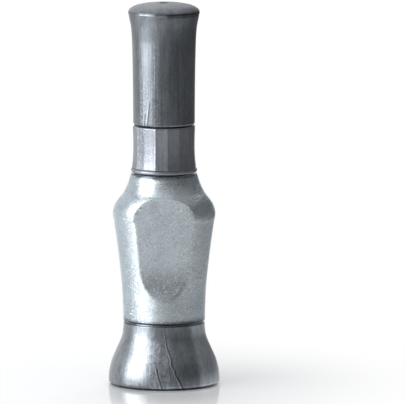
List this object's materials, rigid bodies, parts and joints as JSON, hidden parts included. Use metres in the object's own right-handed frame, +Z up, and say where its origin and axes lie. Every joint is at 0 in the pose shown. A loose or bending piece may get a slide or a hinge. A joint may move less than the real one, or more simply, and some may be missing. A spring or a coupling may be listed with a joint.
{
  "type": "nail art pen",
  "caption": "Two-way nail art pen: waisted polish bottle on a flared base, with a faceted collar, a ribbed needle nozzle, a brush and a pull-off cap.",
  "frame": {"origin": "centre of the flat resting face under the base", "axes": "+Z up along the pen's axis, front panel of the bottle towards -Y"},
  "size_m": [0.029, 0.029, 0.1],
  "materials": {
    "pewter_plastic": "dark pewter metallic moulded plastic, glossy, with faint flow streaks",
    "dark_disc": "dark matte closing disc",
    "clear_plastic": "clear glossy container plastic",
    "shimmer_polish": "silver shimmer polish with fine sparkle",
    "ball_steel": "polished small steel ball",
    "white_plastic": "natural white soft plastic",
    "seal_foam": "pale foam gasket",
    "silver_plastic": "silver metallic moulded plastic, satin gloss",
    "needle_steel": "fine drawn steel tube",
    "natural_plastic": "translucent natural plastic, smooth",
    "anchor_brass": "short drawn wire",
    "bristle_nylon": "fine pale nylon bristles",
    "plug_rubber": "soft grey sealing plug"
  },
  "bodies": {
    "bottle": {"base_shell": "pewter_plastic", "base_disc": "dark_disc", "bottle": "clear_plastic", "polish": "shimmer_polish", "mixing_ball_left": "ball_steel", "mixing_ball_right": "ball_steel", "neck_wiper": "white_plastic"},
    "seal": {"neck_seal": "seal_foam"},
    "applicator": {"collar": "silver_plastic", "inner_cap": "white_plastic", "nozzle": "silver_plastic", "needle": "needle_steel", "stem": "natural_plastic", "bristle_anchor": "anchor_brass", "bristles": "bristle_nylon"},
    "cap": {"cap_shell": "pewter_plastic", "cap_liner": "white_plastic", "needle_seal": "plug_rubber"}
  },
  "joints": [
    {"name": "applicator_lift", "type": "slide", "parent": "bottle", "child": "seal", "axis": [0, 0, 1], "range_m": [0, 0.062]},
    {"name": "applicator_turn", "type": "hinge", "parent": "seal", "child": "applicator", "pos_m": [0, 0, 0.0553], "axis": [0, 0, 1], "range_deg": [0, 540]},
    {"name": "cap_pull", "type": "slide", "parent": "applicator", "child": "cap", "axis": [0, 0, 1], "range_m": [0, 0.034]}
  ]
}
